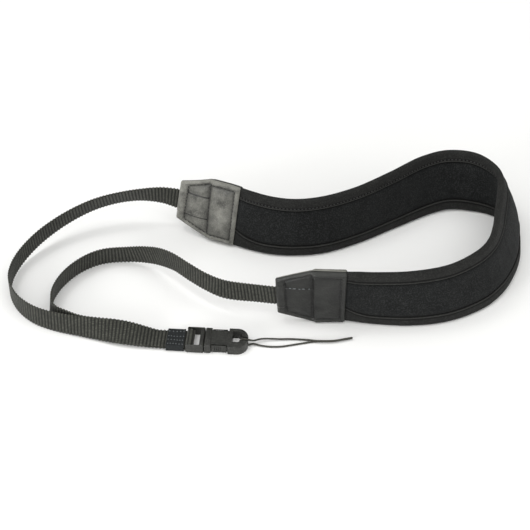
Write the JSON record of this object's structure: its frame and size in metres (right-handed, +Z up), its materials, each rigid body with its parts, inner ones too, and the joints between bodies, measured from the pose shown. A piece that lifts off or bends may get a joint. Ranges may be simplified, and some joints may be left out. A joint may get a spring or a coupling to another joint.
{
  "type": "camera neck strap",
  "caption": "Camera neck strap lying on a table: padded neck piece standing on edge in a U, leatherette end patches, narrow ribbed webbing, side-release buckle and thin cord loop.",
  "frame": {"origin": "middle of the footprint, on the table", "axes": "+X from the webbing's turn towards the pad's bend, +Y from the buckle's side to the far side, +Z up"},
  "size_m": [0.3354, 0.1586, 0.0438],
  "materials": {
    "pad_cloth": "matt, slightly blue black foam-backed cloth",
    "edge_cloth": "matt, charcoal",
    "leatherette": "satin, fine grain",
    "webbing": "ribbed weave",
    "wrap": "woven, with pale stitches",
    "buckle_plastic": "matt, charcoal",
    "cord": "braided, olive grey"
  },
  "bodies": {
    "root": {"pad_core": "pad_cloth", "pad_edge_top": "edge_cloth", "pad_edge_bottom": "edge_cloth", "patch_back_outer": "leatherette", "patch_back_inner": "leatherette", "patch_front_outer": "leatherette", "patch_front_inner": "leatherette", "strap_webbing": "webbing", "strap_wrap": "wrap", "buckle_base": "buckle_plastic", "buckle_socket": "buckle_plastic", "cord_loop": "cord"}
  },
  "joints": []
}
